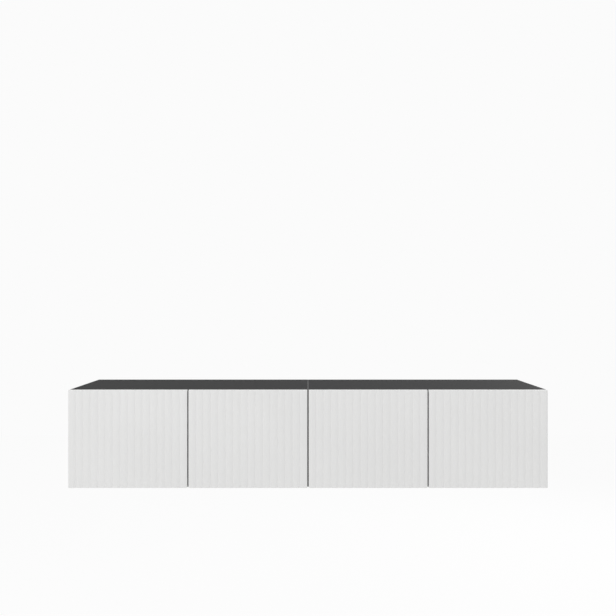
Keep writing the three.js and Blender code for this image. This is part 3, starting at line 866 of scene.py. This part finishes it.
# A bored housing, and a flat lug across it that is screwed up under the top
def buildLatch(number):
    node = f"latch_housing_{number}"
    low, high = nodeBox[node]
    middleX, middleY = (low[0] + high[0]) / 2, (low[1] + high[1]) / 2
    centre = sum(nodeBox[f"latch_plunger_{number}"]) / 2 * (1, 0, 1)
    half = latch["width"] / 2
    bodyLow, bodyHigh = (middleX - half, low[1], low[2]), (middleX + half, high[1], high[2])
    bore = boreShell(centre, "y", latch["bore"], low[1] - latch["boreLead"], high[1] - latch["boreWall"],
                     latch["boreSteps"])
    body = board(bodyLow, bodyHigh, latch["edge"], "y")
    makePiece(f"{node}_finished", [body], plastic, "carcass", [node], [[bore]])
    lugY = (middleY - latch["lugLength"] / 2, middleY + latch["lugLength"] / 2)
    outline = roundOutline(rectangle(low[0], high[0], *lugY), latch["lugCorner"])
    lug = drawnOut(outline, high[2] - latch["lug"], high[2], latch["lugEdge"], "z")
    makePiece(f"{node}_lug", [lug], plastic, "carcass")
    screwZ = high[2] - latch["lug"] + latch["screwSunk"]
    places = [(middleX + way * latch["screwOut"], middleY, screwZ) for way in (-1, 1)]
    buildScrews(f"{node}_screws", places, "z", -1, nickel, "carcass",
                latch["screwRadius"], latch["screwHeight"])


def buildPlunger(number):
    node = f"latch_plunger_{number}"
    low, high = nodeBox[node]
    centre, front, steps = (low + high) / 2 * (1, 0, 1), low[1], plunger["steps"]
    shaft = rod(centre, "y", plunger["shaft"], front + plunger["shaftFrom"], high[1],
                plunger["shaftEdge"], steps)
    tip = rod(centre, "y", plunger["tip"], front + plunger["tipFrom"], front + plunger["tipTo"],
              plunger["tipEdge"], steps)
    makePiece(f"{node}_finished", [shaft, tip], plastic, f"plunger_{number}", [node])
    magnet = rod(centre, "y", plunger["magnet"], front, front + plunger["magnetTo"],
                 plunger["magnetEdge"], steps)
    makePiece(f"{node}_magnet", [magnet], nickel, f"plunger_{number}")
    doorRear = nodeBox[f"door_{number}"][1][1]
    disc = rod(centre, "y", strike["radius"], doorRear, doorRear + strike["thickness"], steps=strike["steps"])
    makePiece(f"door_{number}_strike", [disc], nickel, f"hung_door_{number}")


for number in doorNumbers:
    buildLatch(number)
    buildPlunger(number)
print("stage 7: latches built")

# Wall hardware

rail = dict(thickness=2.5 * mm, gap=6 * mm, half=17 * mm, foot=0.4 * mm, bend=3 * mm, crease=0.6 * mm,
            outlineSteps=6, edge=0.4 * mm, hole=3.5 * mm, holeSteps=32, pitch=200 * mm, holes=8)
hanger = dict(hook=3 * mm, wallGap=1.5 * mm, tip=2 * mm, reach=20 * mm, inset=1 * mm, hookEdge=0.4 * mm,
              bodyEdge=1.5 * mm, screwShares=(0.28, 0.72), screwRadius=4.2 * mm, screwHeight=1.4 * mm)
hookRadii = dict(root=0.6 * mm, crease=0.8 * mm, tip=1.2 * mm, bend=2.6 * mm)
bolt = dict(shank=4 * mm, shankInset=1 * mm, shankEdge=0.2 * mm, shankSteps=24,
            head=8 * mm, headHeight=2 * mm, headEdge=0.9 * mm, headSteps=48,
            socket=2.9 * mm, socketSides=6, socketDepth=1.4 * mm, socketLead=1 * mm, socketEdge=0.02 * mm)


# The rail's profile: flat on the wall, then stepped out to a lip that stands clear of it
def buildRail():
    low, high = nodeBox["wall_rail"]
    t, half, gap = rail["thickness"], rail["half"], rail["gap"]
    corners = [(0, -half), (0, half), (-gap, half), (-gap, high[2]), (-gap - t, high[2]),
               (-gap - t, half - t), (-t, half - t), (-t, -half)]
    foot, bend, crease = rail["foot"], rail["bend"], rail["crease"]
    radii = [foot, bend, crease, crease, crease, bend, crease, foot]
    outline = roundOutline(corners, radii, rail["outlineSteps"])
    body = drawnOut(outline, low[0], high[0], rail["edge"], "x")
    centres = (np.arange(rail["holes"]) - (rail["holes"] - 1) / 2) * rail["pitch"]
    reach = (-t - cutter["overrun"], cutter["overrun"])
    holes = [boreShell((x, 0, 0), "y", rail["hole"], *reach, rail["holeSteps"]) for x in centres]
    makePiece("wall_rail_finished", [body], zinc, "carcass", ["wall_rail"], [holes])


# The hook's profile: over the rail's lip and down behind it
def buildHanger(cabinet, bay):
    node = f"hanger_{cabinet}_{bay}"
    low, high = nodeBox[node]
    front = nodeBox[f"back_panel_{cabinet}"][0][1] - slack
    neck, top, tipZ = neckUnder(), neckUnder() + hanger["hook"], rail["half"] + hanger["tip"]
    hookOut, rootY = -hanger["wallGap"], front - hanger["reach"]
    hookIn = hookOut - hanger["hook"]
    corners = [(rootY, neck), (hookIn, neck), (hookIn, tipZ), (hookOut, tipZ), (hookOut, top), (rootY, top)]
    radii = [hookRadii[place] for place in ("root", "crease", "crease", "tip", "bend", "root")]
    hook = drawnOut(roundOutline(corners, radii), low[0] + hanger["inset"], high[0] - hanger["inset"],
                    hanger["hookEdge"], "x")
    body = board(low, (high[0], front, high[2]), hanger["bodyEdge"], "y")
    makePiece(f"{node}_finished", [body], zinc, "carcass", [node])
    makePiece(f"{node}_hook", [hook], zinc, "carcass")
    places = [((low[0] + high[0]) / 2, low[1] + slack, low[2] + share * (high[2] - low[2]))
              for share in hanger["screwShares"]]
    buildScrews(f"{node}_screws", places, "y", -1, zinc, "carcass",
                hanger["screwRadius"], hanger["screwHeight"])


# Two round heads with hexagon sockets, on one shank through both inner sides
def buildBolt(place):
    node = f"cabinet_bolt_{place}"
    low, high = nodeBox[node]
    centre = (low + high) / 2 * (0, 1, 1)
    heads, sockets = [], []
    for x, way in ((low[0], -1), (high[0], 1)):
        ends = sorted((x, x - way * bolt["headHeight"]))
        heads.append(rod(centre, "x", bolt["head"], *ends, bolt["headEdge"], bolt["headSteps"]))
        ends = sorted((x - way * bolt["socketDepth"], x + way * bolt["socketLead"]))
        hexagon = regular(centre[1:], bolt["socket"], bolt["socketSides"])
        sockets.append(drawnOut(hexagon, *ends, bolt["socketEdge"], "x", cutter["edgeSteps"]))
    makePiece(f"{node}_finished", heads, nickel, "carcass", [node], [sockets])
    ends = (low[0] + bolt["shankInset"], high[0] - bolt["shankInset"])
    shank = rod(centre, "x", bolt["shank"], *ends, bolt["shankEdge"], bolt["shankSteps"])
    makePiece(f"{node}_shank", [shank], nickel, "carcass")


buildRail()
for cabinet in cabinets:
    for bay in bays:
        buildHanger(cabinet, bay)
for place in ("front", "rear"):
    buildBolt(place)
print("stage 8: wall hardware built")

# Stage and light

stage = dict(floorBelow=0.9, floorSize=12.0, white=0.965, floorGlow=1.0, shadowShare=0.1, floorAlbedo=0.8,
             worldLight=0.76)
lamps = dict(
    keyLight=dict(place=(-2.0, -2.4, 1.2), size=(1.8, 1.4), power=18.0),
    fillLight=dict(place=(2.0, -3.0, 0.8), size=(1.8, 1.8), power=8.5),
    topLight=dict(place=(0, -0.6, 2.4), size=(3.0, 1.4), power=10.0),
    rimLight=dict(place=(2.6, 2.2, 1.3), size=(1.4, 1.4), power=40.0),
)


def grey(value):
    return (value, value, value, 1)


# 1 for rays from the camera, straight or by a reflection or through glass
def isSeen(tree):
    path = tree.nodes.new("ShaderNodeLightPath")
    seen = path.outputs["Is Camera Ray"]
    for ray in ("Is Glossy Ray", "Is Transmission Ray"):
        either = tree.nodes.new("ShaderNodeMath")
        either.operation = "MAXIMUM"
        tree.links.new(seen, either.inputs[0])
        tree.links.new(path.outputs[ray], either.inputs[1])
        seen = either.outputs[0]
    return seen


# The floor glows white where it is seen, and a share of it stays lit by the lamps, with the object's shadow
def buildFloor():
    half, z = stage["floorSize"] / 2, cadBox[0].z - stage["floorBelow"]
    mesh = bpy.data.meshes.new("floor")
    mesh.from_pydata([(x, y, z) for x, y in rectangle(-half, half, -half, half)], [], [(0, 1, 2, 3)])
    finish = bpy.data.materials.new("paleFloor")
    finish.use_nodes = True
    tree = finish.node_tree
    tree.nodes.clear()
    output = tree.nodes.new("ShaderNodeOutputMaterial")
    diffuse = tree.nodes.new("ShaderNodeBsdfDiffuse")
    diffuse.inputs["Color"].default_value = grey(stage["floorAlbedo"])
    glow = tree.nodes.new("ShaderNodeEmission")
    glow.inputs["Color"].default_value = grey(stage["floorGlow"])
    share = tree.nodes.new("ShaderNodeMath")
    share.operation = "MULTIPLY"
    share.inputs[1].default_value = 1 - stage["shadowShare"]
    mix = tree.nodes.new("ShaderNodeMixShader")
    tree.links.new(isSeen(tree), share.inputs[0])
    tree.links.new(share.outputs[0], mix.inputs["Fac"])
    tree.links.new(diffuse.outputs["BSDF"], mix.inputs[1])
    tree.links.new(glow.outputs["Emission"], mix.inputs[2])
    tree.links.new(mix.outputs["Shader"], output.inputs["Surface"])
    mesh.materials.append(finish)
    floor = bpy.data.objects.new("floor", mesh)
    bpy.context.scene.collection.objects.link(floor)


def buildWorld():
    world = bpy.data.worlds.new("studio")
    bpy.context.scene.world = world
    world.use_nodes = True
    tree = world.node_tree
    tree.nodes.clear()
    output = tree.nodes.new("ShaderNodeOutputWorld")
    lighting = tree.nodes.new("ShaderNodeBackground")
    lighting.inputs["Color"].default_value = grey(1)
    lighting.inputs["Strength"].default_value = stage["worldLight"]
    shown = tree.nodes.new("ShaderNodeBackground")
    shown.inputs["Color"].default_value = grey(stage["white"])
    mix = tree.nodes.new("ShaderNodeMixShader")
    tree.links.new(isSeen(tree), mix.inputs["Fac"])
    tree.links.new(lighting.outputs["Background"], mix.inputs[1])
    tree.links.new(shown.outputs["Background"], mix.inputs[2])
    tree.links.new(mix.outputs["Shader"], output.inputs["Surface"])


def addLamp(name, place, size, power, aim):
    data = bpy.data.lights.new(name, "AREA")
    data.shape = "RECTANGLE"
    data.size, data.size_y = size
    data.energy = power
    lamp = bpy.data.objects.new(name, data)
    lamp.location = place
    way = np.array(aim, float) - np.array(place, float)
    tilt = math.acos(-way[2] / np.linalg.norm(way))
    lamp.rotation_euler = (tilt, 0, math.atan2(way[1], way[0]) - math.pi / 2)
    bpy.context.scene.collection.objects.link(lamp)


buildFloor()
buildWorld()
for name, lamp in lamps.items():
    addLamp(name, **lamp, aim=(cadBox[0] + cadBox[1]) / 2)
bpy.context.scene.view_settings.view_transform = "Standard"
print("stage 9: stage and lights ready")
